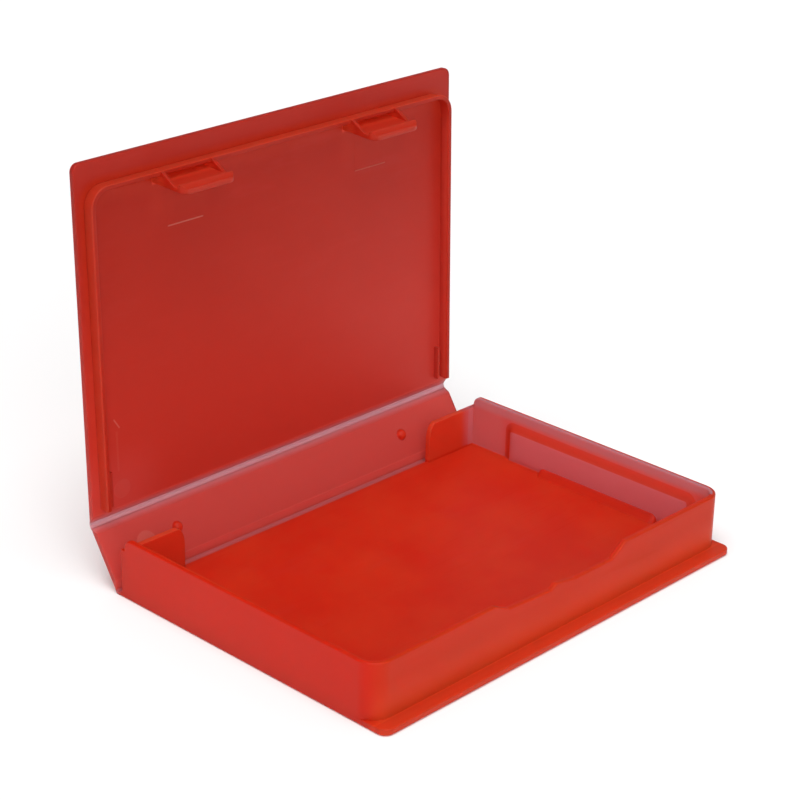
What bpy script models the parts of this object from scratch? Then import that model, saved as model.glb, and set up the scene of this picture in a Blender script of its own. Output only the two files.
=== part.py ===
"""Hard drive case: a shallow tray, a spine and a lid joined by two living hinges.

Metres, +Z up. X runs along the hinges, the hinge side is at +Y and the finger
lip at -Y. The origin is the middle of the tray's underside. The case stands
open, with the spine leaning back and the lid upright.
"""
import math

import bmesh
import bpy

# Driving sizes of the whole case
case_length = 0.120            # along the hinges
tray_depth = 0.0835            # hinge line to the outside of the front wall
lip_reach = 0.0035             # finger lip in front of the front wall
wall_height = 0.0152           # underside to the top of the side walls
wall = 0.0015                  # thickness of every panel and wall
fit_gap = 0.0003               # between pieces that sit on each other
lid_seat_gap = 0.0004          # lid to wall top when shut

# Living hinges
web_thickness = 0.0004
web_width = 0.0008
edge_setback = 0.0009          # hinge line to the outer edge of a panel
edge_slope = 0.0016            # run of a panel's sloped edge towards a hinge
spine_rise_deg = 57.0          # spine above the table as it stands open
lid_rise_deg = 88.5            # lid above the table as it stands open

# Tray
tray_corner_radius = 0.0050
lip_corner_radius = 0.0024
rear_setback = 0.0018          # hinge line to the rear end of the walls
wall_end_radius = 0.0018       # rounding of the side walls' rear top corners
return_round_run = 0.0024      # rounding of a return's free top corner, along X
return_round_drop = 0.0045
notch_width = 0.0450
notch_side = 0.0046            # run of each sloping side of the notch
notch_depth = 0.0030
notch_left_step = 0.0008       # the notch's floor is higher at its left end
vestige_height = 0.0011        # gate vestige in the middle of the notch
vestige_rise = 0.0018
vestige_fall = 0.0066
label_rear_inset = 0.0148      # hinge line to the label recess
label_front_inset = 0.0066     # front of the tray wall to the label recess
label_top = 0.0123
label_slope = 0.0026
label_depth = 0.0010
lower_level_share = 0.60       # heights of the wall's two middle edge lines
upper_level_share = 0.85

# Floor rib and catches
rib_length = 0.0380
rib_height = 0.0019
rib_top_width = 0.0006
rib_foot_width = 0.0022
rib_rear_inset = 0.0280        # hinge line to the rib's rear end
catch_height = 0.0010

# Spine studs, at the side screw holes of a 2.5 inch drive
stud_spacing = 0.0766
stud_radius = 0.0014
stud_rise = 0.0088             # tray hinge line to the studs
stud_side_clearance = 0.0021   # stud to the end of a return wall

# Lid
lid_corner_radius = 0.0020
rim_height = 0.0030
rim_thickness = 0.0012
rim_corner_radius = 0.0050
rim_side_clearance = 0.0007    # rim to the inside of a side wall
rim_front_clearance = 0.0004
rim_hinge_inset = 0.0040       # hinge line to the ends of the rim
stay_rib_gap = 0.0009          # rim to the short rib beside it
stay_rib_thickness = 0.0008
stay_rib_height = 0.0015
stay_rib_length = 0.0088

# Latch hooks
hook_spacing = 0.0600
hook_width = 0.0160
hook_height = 0.0110
hook_thickness = 0.0012
hook_rim_gap = 0.0010          # tongue to the inside of the rim
hook_lean = 0.0008             # tongue tip towards the hinge
hook_tip_radius = 0.0025
gusset_thickness = 0.0010
gusset_height = 0.0080
barb_rise = 0.0008             # barb above the tongue's front face
barb_from_tip = 0.0021
barb_top_run = 0.0006
barb_nose_run = 0.0010
catch_engagement = 0.0003      # barb past the catch's nose
catch_running_gap = 0.0006     # barb to the catch when shut

# Counts and cutters
corner_steps = 8
dome_steps = 24
dome_rings = 6
cut_overrun = 0.0020

# Sizes that follow
half_length = case_length / 2
lid_depth = tray_depth + lip_reach
hinge_y = lid_depth / 2
front_y = hinge_y - tray_depth
hinge_z = web_thickness / 2
spine_width = wall_height + wall - web_thickness + lid_seat_gap
face_out = -web_thickness / 2
face_in = face_out + wall
edge_in_setback = edge_setback + edge_slope
return_width = (case_length - stud_spacing) / 2 - stud_radius - stud_side_clearance
return_height = wall_height - rim_height
rear_y = hinge_y - rear_setback

# Finishes
plastic_red = (0.62, 0.055, 0.030, 1.0)
floor_red = (0.45, 0.022, 0.012, 1.0)
web_red = (0.72, 0.22, 0.20, 1.0)
plastic_roughness = 0.38


def clear_scene():
    """Remove whatever the file holds."""
    for thing in list(bpy.data.objects):
        bpy.data.objects.remove(thing)


def make_material(name, colour, roughness):
    """Moulded polypropylene in one colour."""
    material = bpy.data.materials.new(name)
    material.use_nodes = True
    shader = material.node_tree.nodes["Principled BSDF"]
    shader.inputs["Base Color"].default_value = colour
    shader.inputs["Roughness"].default_value = roughness
    shader.inputs["Metallic"].default_value = 0
    return material


def add_object(name, mesh, parent=None, material=None):
    """Put a mesh in the scene, on a hinge's empty where it moves."""
    piece = bpy.data.objects.new(name, mesh)
    bpy.context.scene.collection.objects.link(piece)
    piece.parent = parent
    if material:
        mesh.materials.append(material)
    return piece


def mesh_from(name, points, faces):
    """A mesh whose faces all point out."""
    mesh = bpy.data.meshes.new(name)
    mesh.from_pydata(points, [], faces)
    shape = bmesh.new()
    shape.from_mesh(mesh)
    bmesh.ops.recalc_face_normals(shape, faces=shape.faces)
    shape.to_mesh(mesh)
    shape.free()
    return mesh


def loft(name, sections, closed_path=False):
    """Join sections of equally many points into a tube with capped ends."""
    count = len(sections[0])
    points = [point for section in sections for point in section]
    faces = []
    for step in range(len(sections) - 1):
        here = step * count
        there = here + count
        for corner in range(count):
            after = (corner + 1) % count
            faces.append((here + corner, here + after, there + after, there + corner))
    if not closed_path:
        faces.append(tuple(range(count)))
        last = (len(sections) - 1) * count
        faces.append(tuple(last + corner for corner in range(count)))
    return mesh_from(name, points, faces)


def arc(centre, radius, start_deg, end_deg, steps=corner_steps):
    """Points along a round corner, both ends included."""
    points = []
    for step in range(steps + 1):
        angle = math.radians(start_deg + (end_deg - start_deg) * step / steps)
        points.append((centre[0] + radius * math.cos(angle), centre[1] + radius * math.sin(angle)))
    return points


def box_mesh(name, low, high):
    """A block between two corners."""
    section = [(low[0], low[1]), (high[0], low[1]), (high[0], high[1]), (low[0], high[1])]
    return loft(name, [[(x, y, z) for x, y in section] for z in (low[2], high[2])])


def prism_x(name, outline, x_low, x_high):
    """An outline in Y and Z drawn out along X."""
    return loft(name, [[(x, y, z) for y, z in outline] for x in (x_low, x_high)])


def prism_y(name, outline, y_low, y_high):
    """An outline in X and Z drawn out along Y."""
    return loft(name, [[(x, y, z) for x, z in outline] for y in (y_low, y_high)])


def combine(piece, other_mesh, operation):
    """Boolean with a hidden tool that shares the piece's parent."""
    tool = add_object(piece.name + "_tool", other_mesh, piece.parent)
    tool.hide_render = True
    tool.display_type = "WIRE"
    modifier = piece.modifiers.new(operation.title(), "BOOLEAN")
    modifier.operation = operation
    modifier.solver = "EXACT"
    modifier.object = tool


def add_hinge(name, place, turn_deg, parent=None):
    """An empty on a hinge line, turned about X."""
    empty = bpy.data.objects.new(name, None)
    bpy.context.scene.collection.objects.link(empty)
    empty.parent = parent
    empty.location = place
    empty.rotation_euler = (math.radians(turn_deg), 0, 0)
    return empty


def notch_profile():
    """Offsets from the middle and heights of the front wall's top edge."""
    foot = notch_width / 2 - notch_side
    low = wall_height - notch_depth
    return [
        (-notch_width / 2, wall_height),
        (-foot, low + notch_left_step),
        (-vestige_rise * 2, low),
        (-vestige_rise, low + vestige_height),
        (vestige_fall - vestige_rise, low),
        (foot, low),
        (notch_width / 2, wall_height),
    ]


def wall_stations():
    """Stations round the tray wall: outer point, inward direction, top, label depth."""
    stations = []
    side = half_length
    radius = tray_corner_radius

    def add(x, y, inward, top, label=0.0):
        stations.append(((x, y), inward, top, label))

    add(-side, rear_y, (1, 0), wall_height)
    centre = (-side + radius, front_y + radius)
    for x, y in arc(centre, radius, 180, 270):
        add(x, y, ((centre[0] - x) / radius, (centre[1] - y) / radius), wall_height)
    for offset, top in notch_profile():
        add(offset, front_y, (0, 1), top)
    centre = (side - radius, front_y + radius)
    for x, y in arc(centre, radius, 270, 360):
        add(x, y, ((centre[0] - x) / radius, (centre[1] - y) / radius), wall_height)
    label_front = front_y + label_front_inset
    label_rear = hinge_y - label_rear_inset
    add(side, label_front, (-1, 0), wall_height)
    add(side, label_front + label_slope, (-1, 0), wall_height, label_depth)
    add(side, label_rear - label_slope, (-1, 0), wall_height, label_depth)
    add(side, label_rear, (-1, 0), wall_height)
    add(side, rear_y, (-1, 0), wall_height)
    return stations


def wall_mesh():
    """The tray's standing wall, with its notch, label recess and returns."""
    sections = []
    foot = wall / 2
    for (x, y), inward, top, label in wall_stations():
        lower = min(label_top - label_slope, top * lower_level_share)
        upper = min(label_top, top * upper_level_share)
        levels = [(foot, label), (lower, label), (upper, 0), (top, 0)]
        outer = []
        inner = []
        for level, push in levels:
            outer.append((x + inward[0] * push, y + inward[1] * push, level))
            inner.append((x + inward[0] * (push + wall), y + inward[1] * (push + wall), level))
        sections.append(outer + inner[::-1])
    return loft("tray_wall", sections)


def floor_mesh():
    """The tray's floor with the finger lip and the sloped hinge edge."""
    side = half_length
    radius = lip_corner_radius
    lip_y = -hinge_y
    front = arc((-side + radius, lip_y + radius), radius, 180, 270)
    front += arc((side - radius, lip_y + radius), radius, 270, 360)
    sections = []
    for level, setback in ((0, edge_setback), (wall, edge_in_setback)):
        outline = [(-side, hinge_y - setback)] + front + [(side, hinge_y - setback)]
        sections.append([(x, y, level) for x, y in outline])
    return loft("tray_floor", sections)


def return_mesh(sign):
    """A rear return with its free top corner rounded, on the left or the right."""
    foot = wall / 2
    root_x = half_length - wall / 2
    end_x = half_length - return_width
    outline = [(root_x, foot), (end_x, foot)]
    for step in range(corner_steps + 1):
        angle = math.radians(90 * step / corner_steps)
        run = return_round_run * (1 - math.cos(angle))
        drop = return_round_drop * (1 - math.sin(angle))
        outline.append((end_x + run, return_height - drop))
    outline.append((root_x, return_height))
    return prism_y("return", [(sign * x, z) for x, z in outline], rear_y - wall, rear_y)


def rear_step_mesh():
    """What is cut away above the returns, up to the side walls' rounded corners."""
    step_y = rear_y - wall
    behind = rear_y + cut_overrun
    above = wall_height + cut_overrun
    centre = (step_y - wall_end_radius, wall_height - wall_end_radius)
    outline = [(step_y, return_height), (behind, return_height), (behind, above), (centre[0], above)]
    outline += arc(centre, wall_end_radius, 90, 0)
    reach = half_length + cut_overrun
    return prism_x("rear_step", outline, -reach, reach)


def build_tray(material):
    """Floor, wall and returns as one moulding."""
    tray = add_object("tray", floor_mesh(), None, material)
    combine(tray, wall_mesh(), "UNION")
    combine(tray, return_mesh(-1), "UNION")
    combine(tray, return_mesh(1), "UNION")
    combine(tray, rear_step_mesh(), "DIFFERENCE")


def build_floor_rib(material):
    """The low wedge that steadies a drive, at the foot of the label recess."""
    back = half_length - wall - label_depth - fit_gap
    foot = wall + fit_gap
    outline = [
        (back, foot),
        (back, wall + rib_height),
        (back - rib_top_width, wall + rib_height),
        (back - rib_foot_width, foot),
    ]
    rear = hinge_y - rib_rear_inset
    add_object("floor_rib", prism_y("floor_rib", outline, rear - rib_length, rear), None, material)


def hook_front():
    """Distance from the lid hinge line to the front face of a tongue."""
    rim_inner = tray_depth - wall - rim_front_clearance - rim_thickness
    return rim_inner - hook_rim_gap


def barb_face():
    """Height over the lid of the barb's catching face."""
    return hook_height - barb_from_tip


def barb_reach():
    """Distance from the lid hinge line to the tip of a barb."""
    lean = hook_lean * barb_face() / hook_height
    return hook_front() - lean + barb_rise


def build_catches(material):
    """Ridges inside the front wall that the hooks' barbs hold under."""
    inner_y = front_y + wall
    lid_face_z = wall_height + lid_seat_gap
    low = lid_face_z - barb_face() + catch_running_gap
    nose_y = hinge_y - barb_reach() + catch_engagement
    half_width = hook_width / 2 - gusset_thickness - catch_running_gap
    outline = [
        (inner_y + fit_gap, low),
        (nose_y, low),
        (nose_y, low + catch_height / 2),
        (inner_y + fit_gap, low + catch_height),
    ]
    for name, centre in (("left_catch", -hook_spacing / 2), ("right_catch", hook_spacing / 2)):
        mesh = prism_x(name, outline, centre - half_width, centre + half_width)
        add_object(name, mesh, None, material)


def build_web(name, parent, place, material):
    """The thin web of a living hinge, flat with the panel that carries it."""
    low = (-half_length, -web_width / 2, -web_thickness / 2)
    high = (half_length, web_width / 2, web_thickness / 2)
    web = add_object(name, box_mesh(name, low, high), parent, material)
    web.location = place


def build_spine(parent, material):
    """The spine, thinned to a slope towards both hinges."""
    side = half_length
    sections = []
    for level, setback in ((face_out, edge_setback), (face_in, edge_in_setback)):
        far = spine_width - setback
        outline = [(-side, setback), (side, setback), (side, far), (-side, far)]
        sections.append([(x, y, level) for x, y in outline])
    add_object("spine_panel", loft("spine_panel", sections), parent, material)


def build_studs(parent, material):
    """Domes on the spine that meet the drive's side screw holes."""
    rings = []
    for ring in range(dome_rings):
        angle = math.radians(90 * ring / dome_rings)
        reach = stud_radius * math.cos(angle)
        level = face_in + fit_gap + stud_radius * math.sin(angle)
        rings.append((reach, level))
    for name, centre in (("left_stud", -stud_spacing / 2), ("right_stud", stud_spacing / 2)):
        sections = []
        for reach, level in rings:
            circle = []
            for step in range(dome_steps):
                turn = 2 * math.pi * step / dome_steps
                circle.append((centre + reach * math.cos(turn), stud_rise + reach * math.sin(turn), level))
            sections.append(circle)
        add_object(name, loft(name, sections), parent, material)


def build_lid(parent, material):
    """The lid's flat panel."""
    side = half_length
    radius = lid_corner_radius
    corners = arc((side - radius, lid_depth - radius), radius, 0, 90)
    corners += arc((-side + radius, lid_depth - radius), radius, 90, 180)
    sections = []
    for level, setback in ((face_out, edge_setback), (face_in, edge_in_setback)):
        outline = [(-side, setback), (side, setback)] + corners
        sections.append([(x, y, level) for x, y in outline])
    add_object("lid_panel", loft("lid_panel", sections), parent, material)


def build_rim(parent, material):
    """The low rim that drops inside the tray's wall."""
    side = half_length - wall - rim_side_clearance
    front = tray_depth - wall - rim_front_clearance
    radius = rim_corner_radius
    low = face_in + fit_gap
    high = face_in + rim_height
    stations = [((side, rim_hinge_inset), (-1, 0))]
    for centre_x, start in ((side - radius, 0), (-side + radius, 90)):
        centre = (centre_x, front - radius)
        for x, y in arc(centre, radius, start, start + 90):
            stations.append(((x, y), ((centre[0] - x) / radius, (centre[1] - y) / radius)))
    stations.append(((-side, rim_hinge_inset), (1, 0)))
    sections = []
    for (x, y), inward in stations:
        inner_x = x + inward[0] * rim_thickness
        inner_y = y + inward[1] * rim_thickness
        sections.append([(x, y, low), (x, y, high), (inner_x, inner_y, high), (inner_x, inner_y, low)])
    add_object("lid_rim", loft("lid_rim", sections), parent, material)


def build_stay_ribs(parent, material):
    """Short ribs beside the rim's two ends."""
    outer = half_length - wall - rim_side_clearance - rim_thickness - stay_rib_gap
    inner = outer - stay_rib_thickness
    far = rim_hinge_inset + stay_rib_length
    for name, low_x, high_x in (("left_stay_rib", -outer, -inner), ("right_stay_rib", inner, outer)):
        low = (low_x, rim_hinge_inset, face_in + fit_gap)
        high = (high_x, far, face_in + stay_rib_height)
        add_object(name, box_mesh(name, low, high), parent, material)


def tongue_mesh(name, centre):
    """A leaning tongue with its barb, drawn out along X."""
    front = hook_front()
    back = front - hook_thickness
    low = face_in + fit_gap
    tip = face_in + hook_height
    face = face_in + barb_face()

    def lean(level):
        return hook_lean * (level - face_in) / hook_height

    outline = [
        (back - lean(low), low),
        (front - lean(low), low),
        (front - lean(face), face),
        (front - lean(face) + barb_rise, face),
        (front - lean(face) + barb_rise, face + barb_top_run),
        (front - lean(face), face + barb_top_run + barb_nose_run),
        (front - lean(tip), tip),
        (back - lean(tip), tip),
    ]
    return prism_x(name, outline, centre - hook_width / 2, centre + hook_width / 2)


def tip_keeper_mesh(name, centre):
    """The space that a tongue with round tip corners keeps."""
    half = hook_width / 2
    radius = hook_tip_radius
    tip = face_in + hook_height
    outline = arc((centre + half - radius, tip - radius), radius, 0, 90)
    outline += arc((centre - half + radius, tip - radius), radius, 90, 180)
    outline += [(centre - half, face_in), (centre + half, face_in)]
    rear = hook_front() - hook_thickness - hook_lean - cut_overrun
    return prism_y(name, outline, rear, hook_front() + barb_rise + cut_overrun)


def gusset_mesh(name, low_x):
    """A gusset from the tongue over the rim's edge."""
    front = hook_front()
    inside_rim = front + hook_rim_gap - fit_gap
    over_rim = face_in + rim_height + fit_gap
    root = front - hook_thickness / 2
    outline = [
        (root - hook_lean / 2, face_in + fit_gap),
        (inside_rim, face_in + fit_gap),
        (inside_rim, over_rim),
        (inside_rim + fit_gap + rim_thickness, over_rim),
        (root - hook_lean / 2, face_in + gusset_height),
    ]
    return prism_x(name, outline, low_x, low_x + gusset_thickness)


def build_hooks(parent, material):
    """Two latch hooks, each a barbed tongue with two gussets."""
    for name, centre in (("left_hook", -hook_spacing / 2), ("right_hook", hook_spacing / 2)):
        hook = add_object(name, tongue_mesh(name, centre), parent, material)
        combine(hook, tip_keeper_mesh(name + "_keeper", centre), "INTERSECT")
        inset = hook_width / 2
        for low_x in (centre - inset, centre + inset - gusset_thickness):
            combine(hook, gusset_mesh(name + "_gusset", low_x), "UNION")


def build_case():
    """All pieces, standing open."""
    clear_scene()
    tray_red = make_material("tray_polypropylene", plastic_red, plastic_roughness)
    rib_red = make_material("rib_polypropylene", floor_red, plastic_roughness)
    spine_red = make_material("spine_polypropylene", plastic_red, plastic_roughness)
    lid_red = make_material("lid_polypropylene", plastic_red, plastic_roughness)
    hinge_red = make_material("hinge_polypropylene", web_red, plastic_roughness)
    tray_hinge = add_hinge("tray_hinge_line", (0, hinge_y, hinge_z), spine_rise_deg)
    lid_hinge = add_hinge("lid_hinge_line", (0, spine_width, 0), lid_rise_deg - spine_rise_deg, tray_hinge)

    build_tray(tray_red)
    build_floor_rib(rib_red)
    build_catches(rib_red)
    build_web("tray_hinge_web", None, (0, hinge_y, hinge_z), hinge_red)

    build_spine(tray_hinge, spine_red)
    build_studs(tray_hinge, spine_red)
    build_web("lid_hinge_web", tray_hinge, (0, spine_width, 0), hinge_red)

    build_lid(lid_hinge, lid_red)
    build_rim(lid_hinge, lid_red)
    build_stay_ribs(lid_hinge, lid_red)
    build_hooks(lid_hinge, lid_red)
    bpy.context.view_layer.update()


build_case()
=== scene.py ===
import math

import bmesh
import bpy
from mathutils import Matrix, Vector


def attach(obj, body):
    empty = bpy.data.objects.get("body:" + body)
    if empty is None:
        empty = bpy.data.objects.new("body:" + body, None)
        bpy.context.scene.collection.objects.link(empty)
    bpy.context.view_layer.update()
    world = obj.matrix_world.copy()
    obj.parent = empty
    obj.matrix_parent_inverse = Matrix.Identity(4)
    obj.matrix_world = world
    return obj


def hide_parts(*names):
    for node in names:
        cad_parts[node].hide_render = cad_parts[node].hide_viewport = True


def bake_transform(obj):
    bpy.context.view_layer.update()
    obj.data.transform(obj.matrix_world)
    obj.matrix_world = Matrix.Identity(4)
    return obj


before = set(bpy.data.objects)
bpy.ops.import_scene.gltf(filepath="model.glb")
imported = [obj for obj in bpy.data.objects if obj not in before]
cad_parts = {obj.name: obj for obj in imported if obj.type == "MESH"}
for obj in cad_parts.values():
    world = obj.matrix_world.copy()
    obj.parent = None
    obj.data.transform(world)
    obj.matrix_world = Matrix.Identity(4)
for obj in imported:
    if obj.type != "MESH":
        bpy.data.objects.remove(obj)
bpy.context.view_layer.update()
print("frame loaded:", len(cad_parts), "solids")

# metres throughout, the frame's own: X along the hinges, Y back, Z up
case = {
    "halfLength": 0.060,
    "hingeY": 0.0435,         # tray hinge line
    "hingeZ": 0.0002,
    "frontY": -0.0400,        # outside of the front wall
    "lipY": -0.0435,          # edge of the finger lip
    "wallHeight": 0.0152,
    "wall": 0.0015,
    "faceOut": -0.0002,       # a panel's outer face below its hinge plane
    "faceIn": 0.0013,         # its inner face
    "edgeSetback": 0.0007,    # hinge line to a panel's thin edge
    "edgeThickness": 0.00036,
    "slopeSetback": 0.0025,   # hinge line to where the panel is full
    "spineWidth": 0.0167,
    "spineRise": 57.0,
    "lidDepth": 0.0870,
    "lidRise": 88.5,
    "edgeRound": 0.00028,     # every outer edge of the moulding
    "edgeSteps": 3,
    "sunk": 0.0004,           # how far an added piece starts inside its neighbour
}
meshing = {
    "apart": 1e-7,            # points closer than this are one
    "weldApart": 2e-6,
    "crease": 32,             # degrees
    "broad": 80,              # how much a broad face counts in the normals beside it
}


def risen(line, degrees):
    return Matrix.Translation(line) @ Matrix.Rotation(math.radians(degrees), 4, "X")


# the two hinge lines, and where the spine and the lid stand on them
trayLine = Vector((0, case["hingeY"], case["hingeZ"]))
spinePlace = risen(trayLine, case["spineRise"])
lidLine = spinePlace @ Vector((0, case["spineWidth"], 0))
lidPlace = risen(lidLine, case["lidRise"])


# ways to stand an outline up: seen from above, from the side, from the front
def layFlat(a, b, level):
    return (a, b, level)


def standAcross(a, b, level):
    return (level, a, b)


def standAlong(a, b, level):
    return (a, level, b)


def joinPoints(mesh):
    # doubled points joined, faces turned outward
    shape = bmesh.new()
    shape.from_mesh(mesh)
    bmesh.ops.remove_doubles(shape, verts=shape.verts, dist=meshing["apart"])
    bmesh.ops.recalc_face_normals(shape, faces=shape.faces)
    shape.to_mesh(mesh)
    shape.free()
    return mesh


def ringsMesh(name, rings):
    # rings of equally many points, joined and capped
    count = len(rings[0])
    points = [point for ring in rings for point in ring]
    faces = []
    for step in range(len(rings) - 1):
        here, there = step * count, (step + 1) * count
        for i in range(count):
            j = (i + 1) % count
            faces.append((here + i, here + j, there + j, there + i))
    faces.append(tuple(range(count)))
    faces.append(tuple((len(rings) - 1) * count + i for i in range(count)))
    mesh = bpy.data.meshes.new(name)
    mesh.from_pydata(points, [], faces)
    return joinPoints(mesh)


def turned(steps, start=0, end=90):
    # the angles of a turn in equal steps, ends included
    return [math.radians(start + (end - start) * step / steps) for step in range(steps + 1)]


def roundCorner(centre, radius, start, end, steps):
    return [(centre[0] + radius * math.cos(turn), centre[1] + radius * math.sin(turn))
            for turn in turned(steps, start, end)]


def roundEnd(half, far, radius, steps, by=0):
    # an outline's two corners at its far end, moved in by this much
    corners = roundCorner((half - radius, far - radius), radius - by, 0, 90, steps)
    return corners + roundCorner((-half + radius, far - radius), radius - by, 90, 180, steps)


def roundMesh(name, centre, profile, sides):
    # a turned shape from its reach at each level
    x, y = centre
    turns = [2 * math.pi * side / sides for side in range(sides)]
    rings = [[(x + reach * math.cos(turn), y + reach * math.sin(turn), level) for turn in turns]
             for reach, level in profile]
    return ringsMesh(name, rings)


def inset(outline, by):
    # each corner moves in along its mitre; the outline runs anticlockwise
    moved = []
    for i, here in enumerate(outline):
        before = Vector(outline[i - 1])
        after = Vector(outline[(i + 1) % len(outline)])
        here = Vector(here)
        into = (here - before).normalized()
        away = (after - here).normalized()
        first = Vector((-into.y, into.x))
        second = Vector((-away.y, away.x))
        moved.append(tuple(here + (first + second) * (by / (1 + first.dot(second)))))
    return moved


def roundedLevels(low, high, edge):
    # a slab's outlines up its lower edge and up its upper one: how far in, how high
    turns = turned(case["edgeSteps"])
    under = [(edge * (1 - math.sin(turn)), low + edge * (1 - math.cos(turn))) for turn in turns]
    over = [(edge * (1 - math.cos(turn)), high - edge * (1 - math.sin(turn))) for turn in turns]
    return under, over


def softSlab(name, outline, low, high, stand, edge, sharpLow=False):
    # an outline swept from low to high, its long edges rounded
    under, over = roundedLevels(low, high, edge)
    rings = []
    for by, level in ([(0, low)] if sharpLow else under) + over:
        ring = inset(outline, by) if by > meshing["apart"] else outline
        rings.append([stand(a, b, level) for a, b in ring])
    return ringsMesh(name, rings)


def addObject(name, data):
    made = bpy.data.objects.new(name, data)
    bpy.context.scene.collection.objects.link(made)
    return made


def weld(name, meshes, operation="UNION"):
    # one closed moulding from several solids
    helpers = [addObject(f"{name}Help{i}", mesh) for i, mesh in enumerate(meshes)]
    for helper in helpers[1:]:
        step = helpers[0].modifiers.new("weld", "BOOLEAN")
        step.operation = operation
        step.solver = "EXACT"
        step.object = helper
    depsgraph = bpy.context.evaluated_depsgraph_get()
    made = bpy.data.meshes.new_from_object(helpers[0].evaluated_get(depsgraph))
    made.name = name
    for helper in helpers:
        mesh = helper.data
        bpy.data.objects.remove(helper)
        bpy.data.meshes.remove(mesh)
    shape = bmesh.new()
    shape.from_mesh(made)
    bmesh.ops.remove_doubles(shape, verts=shape.verts, dist=meshing["weldApart"])
    bmesh.ops.dissolve_degenerate(shape, edges=shape.edges, dist=meshing["apart"])
    shape.to_mesh(made)
    shape.free()
    return made


def addPiece(name, mesh, place, along, material):
    # along gives the moulding's own coordinates in millimetres, which the finishes read
    layer = mesh.attributes.new("mould", "FLOAT_VECTOR", "POINT")
    values = []
    for vertex in mesh.vertices:
        values += along(vertex.co)
    layer.data.foreach_set("vector", values)
    mesh.transform(place)
    mesh.materials.clear()
    mesh.materials.append(material)
    for face in mesh.polygons:
        face.use_smooth = True
    mesh.set_sharp_from_angle(angle=math.radians(meshing["crease"]))
    piece = addObject(name, mesh)
    # broad faces keep their own direction next to the small rounded ones
    level = piece.modifiers.new("level", "WEIGHTED_NORMAL")
    level.keep_sharp = True
    level.weight = meshing["broad"]
    made = bpy.data.meshes.new_from_object(piece.evaluated_get(bpy.context.evaluated_depsgraph_get()))
    piece.modifiers.clear()
    piece.data = made
    made.name = name
    bpy.data.meshes.remove(mesh)
    return piece


def inMm(length):
    return length * 1000


def trayAlong(p):
    return [inMm(p.x + case["halfLength"]), inMm(case["hingeY"] - p.y), inMm(p.z)]


def panelAlong(p):
    return [inMm(p.x + case["halfLength"]), inMm(p.y), inMm(p.z)]


def addNode(tree, kind, settings=None, inputs=None):
    node = tree.nodes.new(kind)
    for key, value in (settings or {}).items():
        setattr(node, key, value)
    for key, value in (inputs or {}).items():
        if isinstance(value, bpy.types.NodeSocket):
            tree.links.new(value, node.inputs[key])
        else:
            node.inputs[key].default_value = value
    return node


def sumOf(operation, swapped=False):
    def made(self, other):
        first, second = (other, self) if swapped else (self, other)
        return self.desk.sum(operation, first, second)
    return made


class Wire:
    # a shader socket that takes part in sums
    def __init__(self, desk, socket):
        self.desk = desk
        self.socket = socket

    __add__ = sumOf("ADD")
    __radd__ = sumOf("ADD", True)
    __sub__ = sumOf("SUBTRACT")
    __rsub__ = sumOf("SUBTRACT", True)
    __mul__ = sumOf("MULTIPLY")
    __pow__ = sumOf("POWER")


class FinishDesk:
    # one material's tree
    def __init__(self, name):
        self.material = bpy.data.materials.new(name)
        self.material.use_nodes = True
        self.tree = self.material.node_tree
        self.tree.nodes.clear()

    def add(self, kind, settings=None, inputs=None, output=0):
        wired = {key: value.socket if isinstance(value, Wire) else value
                 for key, value in (inputs or {}).items()}
        node = addNode(self.tree, kind, settings, wired)
        return Wire(self, node.outputs[output]) if node.outputs else None

    def sum(self, operation, first, second=0):
        return self.add("ShaderNodeMath", {"operation": operation}, {0: first, 1: second})

    def step(self, value, start, full):
        # 0 before start, 1 past full, smooth between; start can be the larger
        if start > full:
            return 1 - self.step(value, full, start)
        limits = {"Value": value, "From Min": start, "From Max": full}
        return self.add("ShaderNodeMapRange", {"interpolation_type": "SMOOTHSTEP"}, limits)

    def mix(self, factor, first, second):
        inputs = {"Factor": factor, 6: first, 7: second}
        return self.add("ShaderNodeMix", {"data_type": "RGBA"}, inputs, 2)

    def noise(self, vector, scale, detail, rough, by=(1, 1, 1)):
        stretched = self.add("ShaderNodeVectorMath", {"operation": "MULTIPLY"}, {0: vector, 1: by})
        inputs = {"Vector": stretched, "Scale": scale, "Detail": detail, "Roughness": rough}
        return self.add("ShaderNodeTexNoise", {}, inputs)

    def cover(self, read, bounds, share=1):
        # a bound names a reading, then where it starts and is full; without these it is a share
        for name, *limits in bounds:
            share = (self.step(read[name], *limits) if limits else read[name]) * share
        return share

    def paint(self, read, colour, layers):
        # a layer: a colour of red or among the readings, its strength, its bounds
        for tone, strength, *bounds in layers:
            over = read[tone] if tone in read else red[tone]
            colour = self.mix(self.cover(read, bounds, strength), colour, over)
        return colour

    def outside(self, offFirst, offSecond, radius):
        # how far outside a rounded rectangle, from how far past the centre of its corner
        beyond = self.sum("MAXIMUM", offFirst) ** 2 + self.sum("MAXIMUM", offSecond) ** 2
        return beyond ** 0.5 + self.sum("MINIMUM", self.sum("MAXIMUM", offFirst, offSecond)) - radius

    def disc(self, read, x, y, radius, soft):
        # 1 inside a round mark
        far = ((read["across"] - x) ** 2 + (read["along"] - y) ** 2) ** 0.5
        return self.step(far, radius + soft, radius - soft)

    def stripe(self, read, start, end, halfWidth):
        # 1 along a straight mark from start to end
        run, rise = end[0] - start[0], end[1] - start[1]
        length = math.hypot(run, rise)
        run, rise = run / length, rise / length
        across, along = read["across"] - start[0], read["along"] - start[1]
        travel = across * run + along * rise
        off = self.sum("ABSOLUTE", along * run - across * rise)
        early, late = mark["stripeEnd"]
        inside = self.step(travel, early, late) * self.step(travel, length - early, length - late)
        return self.step(off, halfWidth, halfWidth * mark["stripeCore"]) * inside


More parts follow.
